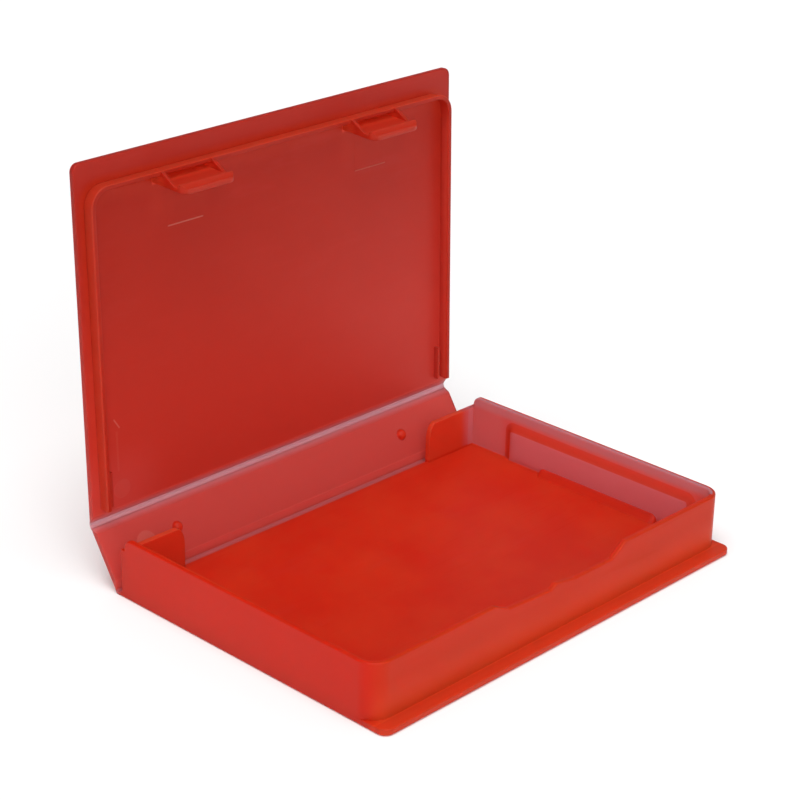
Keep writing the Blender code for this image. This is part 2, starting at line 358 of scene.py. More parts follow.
# translucent red polypropylene: each colour is the base colour of one place; many hold painted light and shade
red = {
    "body": (0.88, 0.054, 0.013, 1),
    "deep": (0.84, 0.032, 0.008, 1),     # thick places
    "thin": (0.74, 0.172, 0.190, 1),     # painted light through a single wall with nothing red behind it
    "rind": (0.63, 0.335, 0.405, 1),     # more painted light through the same wall's upper strip
    "glow": (0.99, 0.095, 0.034, 1),     # painted light that lifts the shade where two walls stand close together, in the hooks' pockets, under the hooks and beside the rim
    "front": (1.0, 0.102, 0.024, 1),     # the front wall's foot, painted lighter to lift the shade by the lip
    # the front wall's upper part, painted darker to take out its sheen
    "frontTop": (0.77, 0.045, 0.002, 1),
    "lip": (0.86, 0.074, 0.020, 1),      # the finger lip, painted lighter where its top lies in shade
    "flank": (0.82, 0.024, 0.002, 1),    # the outer side walls, painted deeper to take out the sheen they catch
    "seat": (0.68, 0.043, 0.014, 1),     # the frame of the label recess, painted darker as the shade on its slopes
    "latch": (0.67, 0.033, 0.0105, 1),   # the hooks, painted darker against the light they catch
    "barb": (0.72, 0.041, 0.013, 1),     # their tips, painted lighter as a highlight
    "crest": (0.58, 0.034, 0.014, 1),    # the rim's top run, painted darker against the light from above
    "side": (0.66, 0.038, 0.016, 1),     # its two sides, painted darker against the light they catch
    "within": (0.77, 0.086, 0.055, 1),   # its right inner side, lit through
    "foot": (0.90, 0.128, 0.108, 1),     # painted light on the panels' thin edges by the hinges
    "scuff": (0.95, 0.42, 0.33, 1),      # painted highlights on the hook tips and along the ridges by the hooks, and pale marks on the lid and on the ejector discs
    "pale": (0.80, 0.105, 0.095, 1),     # paler places: clouds in the plastic, the hinge bands, a painted sheen towards the lid's right and paler patches on the lid
    "stress": (0.84, 0.50, 0.58, 1),     # whitened beside the hinges
    # the lid's foot, painted lighter for the red light it gets from the tray
    "lidFoot": (0.66, 0.044, 0.026, 1),
    # the lid's head, painted darker where little light comes through from behind
    "lidHead": (0.48, 0.016, 0.004, 1),
    # the spine, painted lighter and pinker for its sheen and the light through it
    "spine": (0.72, 0.085, 0.070, 1),
}
plastic = {
    "Subsurface Weight": 0.45,
    "Subsurface Radius": (1.0, 0.30, 0.20),
    "Subsurface Scale": 0.0035,
    "Transmission Weight": 0.60,
    "IOR": 1.49,
    "Specular IOR Level": 0.06,
    "Specular Tint": (1.0, 0.55, 0.50, 1),
}
# its grain, each a noise: scale, detail, roughness, stretch
grain = {
    "cloud": (0.045, 3.0, 0.55),
    "flow": (0.16, 3.0, 0.6, (0.25, 1.0, 1.0)),
    "speck": (2.2, 2.0, 0.6),
    "smudge": (0.09, 4.0, 0.65),
    "line": (0.9, 1.0, 0.4, (0.06, 2.4, 0.6)),
}
surface = {
    "hairline": (0.66, 0.72),
    "roughness": 0.46,
    "roughSmudge": 0.16,
    "roughHair": 0.08,
    "bump": 0.12,
    "bumpDepth": 0.0002,
    "bumpSpeck": 0.5,
    "bumpHair": 0.35,
    "bumpCloud": 1.2,
}
mark = {
    "discSoft": 0.15,
    "studSoft": 0.25,
    "studWider": 0.1,
    "stripeEnd": (-0.2, 0.3),
    "stripeCore": 0.4,
    "outerShare": 0.2,          # a mark's strength on the panel's outer face
    "through": (-0.9, -0.4),    # from the inner face, where it is full
}


def mouldedRed(name, zones, body, deep, hinge=None):
    # hinge: place, reach and strength of a whitened line
    desk = FinishDesk(name)
    mould = desk.add("ShaderNodeAttribute", {"attribute_name": "mould"}, output=1)
    parts = addNode(desk.tree, "ShaderNodeSeparateXYZ", {}, {0: mould.socket})
    read = {key: Wire(desk, parts.outputs[i]) for i, key in enumerate(("across", "along", "height"))}
    for key, values in grain.items():
        read[key] = desk.noise(mould, *values)
    hair = desk.step(read["line"], *surface["hairline"])

    clouds = [(body, 1, ("cloud", 0.30, 0.72)), ("pale", 0.06, ("flow", 0.52, 0.75))]
    colour = desk.paint(read, red[deep], clouds)
    if zones:
        colour = zones(desk, read, colour)
    if hinge:
        line, reach, strength = hinge
        read["toHinge"] = desk.sum("ABSOLUTE", read["along"] - line)
        colour = desk.paint(read, colour, [("stress", strength, ("toHinge", reach, 0.0))])

    rough = surface["roughness"] + (read["smudge"] - 0.5) * surface["roughSmudge"] + hair * surface["roughHair"]
    fine = read["speck"] * surface["bumpSpeck"] + hair * surface["bumpHair"]
    fine = fine + read["cloud"] * surface["bumpCloud"]
    relief = {"Strength": surface["bump"], "Distance": surface["bumpDepth"], "Height": fine}
    bump = desk.add("ShaderNodeBump", {}, relief)
    looks = {"Base Color": colour, "Roughness": rough, "Normal": bump, **plastic}
    shader = desk.add("ShaderNodeBsdfPrincipled", {}, looks)
    desk.add("ShaderNodeOutputMaterial", {}, {"Surface": shader})
    return desk.material


tray = {
    "cornerRadius": 0.0050,
    "cornerSteps": 10,
    "sideSteps": (12, 110),      # of the left wall, and of the right one with its recess
    "riseSteps": 22,
    "lipCornerRadius": 0.0024,
    "lipSteps": 8,
    "rearSetback": 0.0018,       # hinge line to the back of the returns
    "rearRound": 0.0018,
    "rearSteps": 6,
    "rearStep": 0.00002,
    "returnWidth": 0.0182,
    "returnHeight": 0.0122,
    "returnFoot": 0.0005,
    "returnRun": 0.0024,
    "returnDrop": 0.0045,
    "returnSteps": 10,
    "returnRound": 0.00025,
    "labelRear": 0.0148,
    "labelFront": 0.0066,
    "labelTop": 0.0123,
    "labelSlope": 0.0026,
    "labelDepth": 0.0010,
    "labelCorner": 0.0030,
    "labelEased": 0.55,          # share of its slope that is eased at both ends
    "footRound": 0.0007,
    "topRound": 0.00035,
    "roundSteps": 4,
    "notch": [(-0.0225, 0.0152), (-0.0179, 0.0130), (-0.0036, 0.0122), (-0.0018, 0.0133),
              (0.0048, 0.0122), (0.0179, 0.0122), (0.0225, 0.0152)],
    "notchEased": 0.0003,        # each side of its corners
    "notchEnd": 0.0330,
    "ribBack": 0.0575,
    "ribRear": 0.0280,
    "ribLength": 0.0380,
    "ribHeight": 0.0019,
    "ribTop": 0.0006,
    "ribFoot": 0.0024,
    "ribRound": 0.0002,
    "ribEnd": 0.0016,
    "ribEndSteps": 6,
    "ribEndHeight": 0.25,        # shares of its height and foot at the very ends
    "ribEndFoot": 0.55,
}


def labelPush(x, y, z):
    # how far the label recess pushes the right wall in at this place
    if x < case["halfLength"] - tray["cornerRadius"]:
        return 0.0
    rear = case["hingeY"] - tray["labelRear"]
    front = case["frontY"] + tray["labelFront"]
    radius = tray["labelCorner"]
    halfSpan = (rear - front) / 2
    offY = abs(y - (rear + front) / 2) - (halfSpan - radius)
    offZ = z - (tray["labelTop"] - radius)
    outside = math.hypot(max(offY, 0), max(offZ, 0)) + min(max(offY, offZ), 0) - radius
    share = min(max(-outside / tray["labelSlope"], 0), 1)
    eased = share * share * (3 - 2 * share)
    return tray["labelDepth"] * ((1 - tray["labelEased"]) * share + tray["labelEased"] * eased)


def wallCorner(side, start, top):
    # the stations round a front corner
    radius = tray["cornerRadius"]
    centre = (side * (case["halfLength"] - radius), case["frontY"] + radius)
    bend = roundCorner(centre, radius, start, start + 90, tray["cornerSteps"])
    return [((x, y), ((centre[0] - x) / radius, (centre[1] - y) / radius), top) for x, y in bend]


def wallStations():
    # along the wall from the left rear end to the right one: place, inward, top
    half, top, end = case["halfLength"], case["wallHeight"], tray["rearRound"]
    startY = case["frontY"] + tray["cornerRadius"]
    backY = case["hingeY"] - tray["rearSetback"]
    stepY = backY - case["wall"]
    endY = stepY - end
    tail = [(backY - case["sunk"], tray["returnHeight"]), (stepY, tray["returnHeight"])]
    for turn in turned(tray["rearSteps"]):
        run, rise = end * (1 - math.cos(turn)), end * math.sin(turn)
        tail.append((stepY - tray["rearStep"] - run, top - end + rise))
    left, right = tray["sideSteps"]
    stations = [((-half, y), (1, 0), high) for y, high in tail]
    stations += [((-half, endY + (startY - endY) * i / left), (1, 0), top) for i in range(1, left)]
    stations += wallCorner(-1, 180, top)
    stations += [((x, case["frontY"]), (0, 1), high) for x, high in softNotch()]
    stations += wallCorner(1, 270, top)
    stations += [((half, startY + (endY - startY) * i / right), (-1, 0), top) for i in range(1, right)]
    return stations + [((half, y), (-1, 0), high) for y, high in reversed(tail)]


def softNotch():
    # the thumb notch's edge with each corner eased by a short curve
    corners, end, reach = tray["notch"], tray["notchEnd"], tray["notchEased"]
    line = [(-end, corners[0][1])] + corners + [(end, corners[-1][1])]
    eased = line[:1]
    for before, (x, z), after in zip(line, corners, line[2:]):
        back, ahead = (Vector((a - x, b - z)).normalized() * reach for a, b in (before, after))
        for share in (0.0, 0.25, 0.5, 0.75, 1.0):
            stay, go = (1 - share) ** 2, share ** 2
            eased.append((x + (stay * back.x + go * ahead.x), z + (stay * back.y + go * ahead.y)))
    return eased + line[-1:]


def wallProfile(top):
    # round the wall's section: depth from its outer face, height, and if the recess pushes it
    wall, foot, rise = case["wall"], case["wall"] / 2, tray["riseSteps"]
    soft, fillet = tray["topRound"], tray["footRound"]
    high, turns = top - soft, turned(tray["roundSteps"])
    profile = [(0, foot + (high - foot) * step / rise, True) for step in range(rise + 1)]
    over = [(soft * (1 - math.cos(turn)), high + soft * math.sin(turn)) for turn in turns[1:-1]]
    profile += [(depth, z, False) for depth, z in over] + [(soft, top, False), (wall - soft, top, False)]
    profile += [(wall - depth, z, False) for depth, z in reversed(over)]
    profile += [(wall, high + (wall + fillet - high) * step / rise, True) for step in range(rise + 1)]
    for turn in turns[1:]:
        profile.append((wall + fillet * (1 - math.cos(turn)), wall + fillet * (1 - math.sin(turn)), True))
    return profile + [(wall + fillet, foot, True)]


def trayWall():
    rings = []
    for (x, y), inward, top in wallStations():
        ring = []
        for depth, z, pushed in wallProfile(top):
            push = labelPush(x, y, z) if pushed else 0.0
            ring.append((x + inward[0] * (depth + push), y + inward[1] * (depth + push), z))
        rings.append(ring)
    return ringsMesh("trayWall", rings)


def setback(rise, full):
    # hinge line to a panel's edge, at this rise over its outer face
    thin, near = case["edgeThickness"], case["edgeSetback"]
    return near + max(rise - thin, 0) / (full - thin) * (case["slopeSetback"] - near)


def trayFloor():
    half, lip, radius = case["halfLength"], case["lipY"], tray["lipCornerRadius"]
    under, over = roundedLevels(0, case["wall"], case["edgeRound"])
    rings = []
    for by, z in under + over:
        front = roundCorner((-half + radius, lip + radius), radius - by, 180, 270, tray["lipSteps"])
        front += roundCorner((half - radius, lip + radius), radius - by, 270, 360, tray["lipSteps"])
        rear = case["hingeY"] - setback(z, case["wall"])
        rings.append([(x, y, z) for x, y in [(-half + by, rear)] + front + [(half - by, rear)]])
    return ringsMesh("trayFloor", rings)


def trayReturn(sign):
    half, end = case["halfLength"], case["halfLength"] - tray["returnWidth"]
    foot, high = tray["returnFoot"], tray["returnHeight"]
    outline = [(half, foot), (half, high)]
    for turn in reversed(turned(tray["returnSteps"])):
        run, drop = tray["returnRun"] * (1 - math.cos(turn)), tray["returnDrop"] * (1 - math.sin(turn))
        outline.append((end + run, high - drop))
    outline = [(sign * x, z) for x, z in outline + [(end, foot)]]
    if sign < 0:
        outline.reverse()
    back = case["hingeY"] - tray["rearSetback"]
    return softSlab("trayReturn", outline, back - case["wall"], back, standAlong, tray["returnRound"])


def floorRib():
    # a low wedge whose two ends fall away in a round
    length, rear, end = tray["ribLength"], case["hingeY"] - tray["ribRear"], tray["ribEnd"]
    stops = [end * (1 - math.cos(turn)) for turn in turned(tray["ribEndSteps"])[1:]]
    places = [(stop, math.sqrt(max(1 - (1 - stop / end) ** 2, 0))) for stop in stops]
    back, low, soft = tray["ribBack"] + case["sunk"], case["wall"] - case["sunk"], tray["ribRound"]
    endHeight, endFoot = tray["ribEndHeight"], tray["ribEndFoot"]
    face = back - case["sunk"] - tray["ribTop"]
    rings = []
    for stop, share in places + [(length - stop, share) for stop, share in reversed(places)]:
        high = case["wall"] + tray["ribHeight"] * (endHeight + (1 - endHeight) * share)
        foot = tray["ribFoot"] * (endFoot + (1 - endFoot) * share)
        ring = [
            (back, low),
            (back, high),
            (face + soft, high),
            (face, high - soft * 0.4),
            (face - soft * 0.5, high - soft * 1.6),
            (back - case["sunk"] - foot, low),
        ]
        rings.append([(x, rear - length + stop, z) for x, z in ring])
    return ringsMesh("floorRib", rings)


catch = {"spacing": 0.0600, "halfWidth": 0.0064, "low": 0.0073, "height": 0.0010, "noseY": -0.035753,
         "slope": 0.0003, "round": 0.0001}


def frontCatches():
    # the two ridges inside the front wall that the hooks snap under
    root, nose = case["frontY"] + case["wall"] - case["sunk"], catch["noseY"]
    low, high = catch["low"], catch["low"] + catch["height"]
    outline = [(root, low), (nose, low), (nose, low + catch["height"] / 2), (root, high + catch["slope"])]
    made = []
    for centre in (-catch["spacing"] / 2, catch["spacing"] / 2):
        start, end = centre - catch["halfWidth"], centre + catch["halfWidth"]
        made.append(softSlab("catch", outline, start, end, standAcross, catch["round"]))
    return made


# layers of tone, in millimetres: painted light through the right wall and on the returns, painted shade on the
# frame of its recess; the rib is thick, so it looks deeper; painted light and shade on the outer faces
rightWall = [("across", 116.4, 117.0), ("height", 1.7, 2.1), ("along", 2.0, 3.4)]
labelEdging = [(0.75, -0.1, 0.3), (0.25, 0.2, 1.8)]     # share, then where it starts and is full
trayLayers = [
    # painted light through the right wall, more on its upper strip over the recess and towards the rear
    ("thin", 0.92, ["rightWall"]),
    ("rind", 0.9, ["rightWall"], ("overLabel", -0.4, 1.4)),
    ("rind", 0.3, ["rightWall"], ("along", 16.0, 12.0)),
    # painted light lifting the shade on the two returns
    ("glow", 0.9, ("along", 3.5, 3.2), ("height", 1.7, 2.4), ("across", 1.7, 2.1), ("across", 116.8, 113.4)),
    # painted light through the corner by the right return
    ("thin", 0.9, ("along", 3.5, 3.2), ("height", 1.7, 2.4), ("across", 113.4, 116.8)),
    ("seat", 0.95, ["edging"], ("depth", 2.5, 2.25), ["rightWall"]),
    ("deep", 0.95, ("across", 114.6, 114.9), ("across", 117.4, 117.2), ("height", 1.6, 1.9),
     ("pastRibStart", -0.3, 0.0), ("pastRibEnd", 0.3, 0.0)),
    ("outerTone", 0.95, ("outward", -0.9, -0.6)),
]
# painted light and shade on the outer faces: the front wall's foot and the lip lighter, its upper part and the
# side walls darker
outerLayers = [
    ("frontTop", 1, ("height", 1.5, 11.0)),
    ("lip", 1, ("pastFront", 0.2, 0.6)),
    ("flank", 1, ("frontward", 3.5, -3.5)),
]


def trayZones(desk, read, colour):
    across, along, height = read["across"], read["along"], read["height"]
    radius, labelTop = inMm(tray["labelCorner"]), inMm(tray["labelTop"])
    rear, front = inMm(tray["labelRear"]), inMm(case["hingeY"] - case["frontY"] - tray["labelFront"])
    offAlong = desk.sum("ABSOLUTE", along - (rear + front) / 2) - ((front - rear) / 2 - radius)
    read["rightWall"] = desk.cover(read, rightWall)
    read["overLabel"] = height - labelTop
    read["depth"] = 0 - desk.outside(offAlong, height - (labelTop - radius), radius)
    first, second = (desk.step(read["depth"], low, high) * share for share, low, high in labelEdging)
    read["edging"] = first + second
    read["pastRibStart"] = along - inMm(tray["ribRear"])
    read["pastRibEnd"] = along - inMm(tray["ribRear"] + tray["ribLength"])
    # outer faces, all round the walls' rounded rectangle
    corner, middle = inMm(tray["cornerRadius"]), inMm(case["halfLength"])
    toFront = desk.sum("MAXIMUM", along - inMm(case["hingeY"] - case["frontY"]) + corner)
    toSide = desk.sum("MAXIMUM", desk.sum("ABSOLUTE", across - middle) - middle + corner)
    read["outward"] = (toFront ** 2 + toSide ** 2) ** 0.5 - corner
    read["pastFront"] = toFront - corner
    read["frontward"] = toFront - toSide
    read["outerTone"] = desk.paint(read, red["front"], outerLayers)
    return desk.paint(read, colour, trayLayers)


spine = {
    "studSpacing": 0.0766,
    "studRadius": 0.0014,
    "studRise": 0.0088,
    "studFoot": 0.00015,         # how much wider its foot is
    "studFootTop": 0.00003,
    "studFootHeight": 0.00012,
    "studPole": 0.02,            # share of its radius where it is closed
    "studSteps": 8,
    "studSides": 32,
    "disc": (-0.0478, 0.0082, 0.0028),
}
pinMark = {"height": 0.00006, "sunk": 0.0003, "sides": 40}


def panelRings(width, corner=None):
    # a panel's stacked outlines: thin at its hinge edges, rounded at its free ones
    half, low, high = case["halfLength"], case["faceOut"], case["faceIn"]
    under, over = roundedLevels(low, high, case["edgeRound"])
    rings = []
    for by, level in under + [(0, low + case["edgeThickness"])] + over:
        near = setback(level - low, high - low)
        outline = [(-half + by, near), (half - by, near)]
        if corner is None:
            outline += [(half - by, width - near), (-half + by, width - near)]
        else:
            outline += roundEnd(half, width, corner, lid["cornerSteps"], by)
        rings.append([(x, y, level) for x, y in outline])
    return rings


def lowDisc(x, y, radius):
    # the mark of an ejector pin: a disc a hair proud of the face
    face, high = case["faceIn"], pinMark["height"]
    profile = [(radius, face - pinMark["sunk"]), (radius, face + high * 0.5), (radius - high, face + high)]
    return roundMesh("ejectorDisc", (x, y), profile, pinMark["sides"])


def studDome():
    # one dome with a small foot, at the middle of the hinge's length
    radius, face = spine["studRadius"], case["faceIn"]
    foot = radius + spine["studFoot"]
    profile = [(foot, face - case["sunk"]), (foot, face)]
    profile.append((radius + spine["studFootTop"], face + spine["studFootHeight"]))
    for turn in turned(spine["studSteps"])[2:-1]:
        profile.append((radius * math.cos(turn), face + radius * math.sin(turn)))
    profile.append((radius * spine["studPole"], face + radius))
    return roundMesh("studDome", (0, spine["studRise"]), profile, spine["studSides"])


def readPanel(desk, read, disc):
    # height over the inner face, how far a mark is seen, the ejector disc
    read["raised"] = read["height"] - inMm(case["faceIn"])
    share = mark["outerShare"]
    read["seen"] = share + desk.step(read["raised"], *mark["through"]) * (1 - share)
    x, y, radius = (inMm(value) for value in disc)
    read["disc"] = desk.disc(read, inMm(case["halfLength"]) + x, y, radius, mark["discSoft"])


# painted light on the thin edges, where light comes through, and a pale disc on the ejector mark; the studs are
# thick, so they look deeper
spineLayers = [("foot", 1, ("along", 3.0, 2.2)), ("scuff", 0.20, ["disc"], ["seen"])]
studLayers = [("deep", 1, ["stud"], ("raised", 0.02, 0.15))]


def spineZones(desk, read, colour):
    readPanel(desk, read, spine["disc"])
    colour = desk.paint(read, colour, spineLayers)
    middle, spread = inMm(case["halfLength"]), inMm(spine["studSpacing"]) / 2
    radius, rise = inMm(spine["studRadius"]) + mark["studWider"], inMm(spine["studRise"])
    for x in (middle - spread, middle + spread):
        read["stud"] = desk.disc(read, x, rise, radius, mark["studSoft"])
        colour = desk.paint(read, colour, studLayers)
    return colour


socketKinds = {int: "NodeSocketInt", float: "NodeSocketFloat", bpy.types.Material: "NodeSocketMaterial"}


def startTree(name, inputs):
    # a tree and its inputs
    tree = bpy.data.node_groups.new(name, "GeometryNodeTree")
    tree.interface.new_socket("Geometry", in_out="INPUT", socket_type="NodeSocketGeometry")
    for label, value in inputs.items():
        kind = socketKinds[type(value)]
        tree.interface.new_socket(label, in_out="INPUT", socket_type=kind).default_value = value
    tree.interface.new_socket("Geometry", in_out="OUTPUT", socket_type="NodeSocketGeometry")
    return tree, addNode(tree, "NodeGroupInput").outputs


def endTree(tree, shape, finish):
    real = addNode(tree, "GeometryNodeRealizeInstances", {}, {"Geometry": shape})
    given = addNode(tree, "GeometryNodeSetMaterial", {}, {"Geometry": real.outputs[0], "Material": finish})
    addNode(tree, "NodeGroupOutput", {}, {"Geometry": given.outputs[0]})
    return tree


def runTree(name, tree, base):
    # the tree on a mesh, turned into a plain mesh
    holder = addObject(name, base)
    modifier = holder.modifiers.new(name, "NODES")
    modifier.node_group = tree
    for item in tree.interface.items_tree:
        if item.in_out == "INPUT" and item.name != "Geometry":
            modifier[item.identifier] = item.default_value
    depsgraph = bpy.context.evaluated_depsgraph_get()
    made = bpy.data.meshes.new_from_object(holder.evaluated_get(depsgraph))
    made.name = name
    bpy.data.objects.remove(holder)
    return joinPoints(made)


def repeatTree(name, spacing, material, count):
    # copies of one pattern, set out at equal spacing along the hinge about its middle
    tree, given = startTree(name, {"Count": count, "Spacing": spacing, "Finish": material})
    back = given["Count"]
    for operation, by in (("SUBTRACT", 1.0), ("MULTIPLY", given["Spacing"]), ("MULTIPLY", -0.5)):
        back = addNode(tree, "ShaderNodeMath", {"operation": operation}, {0: back, 1: by}).outputs[0]
    first = addNode(tree, "ShaderNodeCombineXYZ", {}, {0: back})
    step = addNode(tree, "ShaderNodeCombineXYZ", {}, {0: given["Spacing"]})
    places = {"Count": given["Count"], "Start Location": first.outputs[0], "Offset": step.outputs[0]}
    row = addNode(tree, "GeometryNodeMeshLine", {"mode": "OFFSET"}, places)
    patterns = {"Points": row.outputs[0], "Instance": given["Geometry"]}
    copies = addNode(tree, "GeometryNodeInstanceOnPoints", {}, patterns)
    return endTree(tree, copies.outputs[0], given["Finish"])


def repeated(name, pattern, spacing, material, count=2):
    return runTree(name, repeatTree(name + "Row", spacing, material, count), pattern)


lid = {
    "cornerRadius": 0.0020,
    "cornerSteps": 8,
    "rimHeight": 0.0030,
    "rimThickness": 0.0012,
    "rimCrest": 0.0008,        # thickness at its top
    "rimCorner": 0.0050,
    "rimSteps": 10,
    "rimSide": 0.0578,         # outside of the rim from the middle
    "rimFront": 0.0816,        # outside of the rim from the hinge
    "rimStart": 0.0040,
    "rimRound": 0.00022,
    "rimRoundSteps": 4,
    "stayOuter": 0.0557,
    "stayInner": 0.0549,
    "stayHeight": 0.0015,
    "stayLength": 0.0088,
    "stayRound": 0.0002,
    "disc": (-0.0510, 0.0070, 0.0024),
}


def rimTree(material):
    # a rounded bar that follows a path
    tree, given = startTree("rimBar", {
        "Height": lid["rimHeight"] + case["sunk"],
        "Foot": lid["rimThickness"],
        "Crest": lid["rimCrest"],
        "Edge Round": lid["rimRound"],
        "Finish": material,
    })
    path = addNode(tree, "GeometryNodeMeshToCurve", {}, {"Mesh": given["Geometry"]})
    upright = addNode(tree, "GeometryNodeSetCurveNormal", {"mode": "Z_UP"}, {"Curve": path.outputs[0]})
    sides = {"Height": given["Height"], "Bottom Width": given["Foot"], "Top Width": given["Crest"]}
    sides["Offset"] = 0.0
    section = addNode(tree, "GeometryNodeCurvePrimitiveQuadrilateral", {"mode": "TRAPEZOID"}, sides)
    bends = {"Curve": section.outputs[0], "Count": lid["rimRoundSteps"], "Radius": given["Edge Round"]}
    soft = addNode(tree, "GeometryNodeFilletCurve", {"mode": "POLY"}, bends)
    swept = {"Curve": upright.outputs[0], "Profile Curve": soft.outputs[0], "Fill Caps": True}
    bar = addNode(tree, "GeometryNodeCurveToMesh", {}, swept)
    return endTree(tree, bar.outputs[0], given["Finish"])


def lidRim(material):
    # three sides of a rounded rectangle, its middle line at half the rim's height
    halfBar = lid["rimThickness"] / 2
    side, front = lid["rimSide"] - halfBar, lid["rimFront"] - halfBar
    level = case["faceIn"] + (lid["rimHeight"] - case["sunk"]) / 2
    bend = roundEnd(side, front, lid["rimCorner"] - halfBar, lid["rimSteps"])
    line = [(side, lid["rimStart"])] + bend + [(-side, lid["rimStart"])]
    path = bpy.data.meshes.new("rimPath")
    path.from_pydata([(x, y, level) for x, y in line], [(i, i + 1) for i in range(len(line) - 1)], [])
    return runTree("lidRim", rimTree(material), path)


def stayRib(sign):
    outer, inner = sign * lid["stayOuter"], sign * lid["stayInner"]
    low, high = min(outer, inner), max(outer, inner)
    near, far = lid["rimStart"], lid["rimStart"] + lid["stayLength"]
    outline = [(low, near), (high, near), (high, far), (low, far)]
    foot, top = case["faceIn"] - case["sunk"], case["faceIn"] + lid["stayHeight"]
    return softSlab("stayRib", outline, foot, top, layFlat, lid["stayRound"], True)


hook = {
    "spacing": 0.0600,
    "width": 0.0160,
    "height": 0.0110,
    "thickness": 0.0012,
    "front": 0.0794,          # tongue's front face from the hinge
    "round": 0.0003,
    "rimGap": 0.0010,
    "lean": 0.0008,
    "tipRadius": 0.0025,
    "tipSteps": 7,
    "gussetThickness": 0.0010,
    "gussetHeight": 0.0080,
    "gussetOverRim": 0.0003,
    "gussetInRim": 0.75,      # share of the rim's thickness that it runs into
    "gussetShy": 0.00006,     # inside the tongue's sides, so that no faces lie together
    "gussetRound": 0.0002,
    "barbRise": 0.0008,
    "barbFromTip": 0.0021,
    "barbTop": 0.0006,
    "barbNose": 0.0010,
    "barbSunk": 0.0005,
    "barbEase": 0.0002,
    "barbFoot": 0.0003,
    "barbRound": 0.00005,
    "barbPast": 0.001,        # its bar runs past the tongue, and the keeper cuts it back
    "keeperShy": 0.00004,
    "keeperPast": (0.001, 0.002),
    "keeperRound": 0.0001,
    "markFromMiddle": (-0.0040, 0.0066),
    "markAt": 0.0671,
    "markWidth": 0.00022,
    "markHeight": 0.00010,
    "markSunk": 0.0002,
    "markRound": 0.00005,
    "faintHeight": 0.00003,
    "faintRound": 0.00002,
}


def latchHook():
    # one barbed tongue with its two gussets, in the lid's own frame, at the middle
    base, tip = case["faceIn"], case["faceIn"] + hook["height"]
    root = base - case["sunk"]
    half, front, back = hook["width"] / 2, hook["front"], hook["front"] - hook["thickness"]
    outline = [(-half, root), (half, root)] + roundEnd(half, tip, hook["tipRadius"], hook["tipSteps"])
    tongue = softSlab("tongue", outline, back, front, standAlong, hook["round"])

    # the barb spans the tongue and keeps inside its rounded tip
    face = tip - hook["barbFromTip"]
    nose = face + hook["barbTop"] + hook["barbNose"]
    rise, ease = hook["barbRise"], hook["barbEase"]
    section = [
        (front - hook["barbSunk"], face),
        (front + rise - ease, face),
        (front + rise, face + ease),
        (front + rise, face + hook["barbTop"]),
        (front + rise * 0.55, nose - hook["barbNose"] * 0.4),
        (front - hook["barbSunk"], nose + hook["barbFoot"]),
    ]
    past, (before, after) = half + hook["barbPast"], hook["keeperPast"]
    bar = softSlab("barb", section, -past, past, standAcross, hook["barbRound"])
    inside = inset(outline, hook["keeperShy"])
    keeper = softSlab("keeper", inside, back - before, front + after, standAlong, hook["keeperRound"])
    meshes = [tongue, weld("barb", [bar, keeper], "INTERSECT")]
    lean = hook["lean"] / hook["height"]
    for mesh in meshes:
        for vertex in mesh.vertices:
            vertex.co.y -= lean * (vertex.co.z - base)

    start = front - hook["thickness"] / 2
    reach = front + hook["rimGap"] + lid["rimThickness"] * hook["gussetInRim"]
    gusset = [
        (start, root),
        (reach, root),
        (reach, base + lid["rimHeight"] + hook["gussetOverRim"]),
        (start - hook["lean"] / 2, base + hook["gussetHeight"]),
    ]
    shy, thick = hook["gussetShy"], hook["gussetThickness"]
    for low in (-half + shy, half - shy - thick):
        meshes.append(softSlab("gusset", gusset, low, low + thick, standAcross, hook["gussetRound"]))
    return weld("latchHook", meshes)


def hookMark():
    # the fine ridge round the place where the core for a hook slid
    left, right = hook["markFromMiddle"]
    at, half = hook["markAt"], hook["markWidth"] / 2
    face, low = case["faceIn"], case["faceIn"] - hook["markSunk"]
    upTo = hook["front"] - hook["thickness"] + case["sunk"]
    across = [(left, at - half), (right, at - half), (right, at + half), (left, at + half)]
    up = [(left - half, at), (left + half, at), (left + half, upTo), (left - half, upTo)]
    ridge = softSlab("mark", across, low, face + hook["markHeight"], layFlat, hook["markRound"], True)
    faint = softSlab("mark", up, low, face + hook["faintHeight"], layFlat, hook["faintRound"], True)
    return weld("hookMark", [ridge, faint])


# painted light and shade: brighter at its foot and darker at its head, a painted sheen to the right, paler in
# the foot's left corner and just outside the rim, painted light on the thin edge, in the rim's crease, inside
# its top run and at its outer foot, the rim painted darker
lidLayers = [
    ("lidFoot", 1, ("along", 84.0, 6.0)),
    ("pale", 0.12, ("across", 60.0, 118.0), ["milky"]),
    ("pale", 0.34, ("across", 26.0, 8.0), ("along", 20.0, 7.0)),
    ("foot", 0.5, ("along", 3.0, 2.2)),
    ("pale", 0.10, ("beside", 0.2, 2.2)),
    ("glow", 0.16, ("crease", 1.8, 0.2)),
    ("glow", 0.14, ("beside", -7.0, -1.4), ("beside", -0.9, -1.3), ("along", 72.0, 79.0)),
    ("rimTone", 0.85, ("raised", 0.3, 0.9)),
    ("glow", 0.4, ("beside", -0.4, -0.15), ("raised", 0.1, 0.3)),
]
# the rim painted darker, most on its top run, with painted light through its right inner side
rimLayers = [
    ("within", 1, ("across", 100.0, 112.0), ("raised", 2.9, 2.1)),
    ("crest", 1, ("along", 70.0, 79.5)),
]
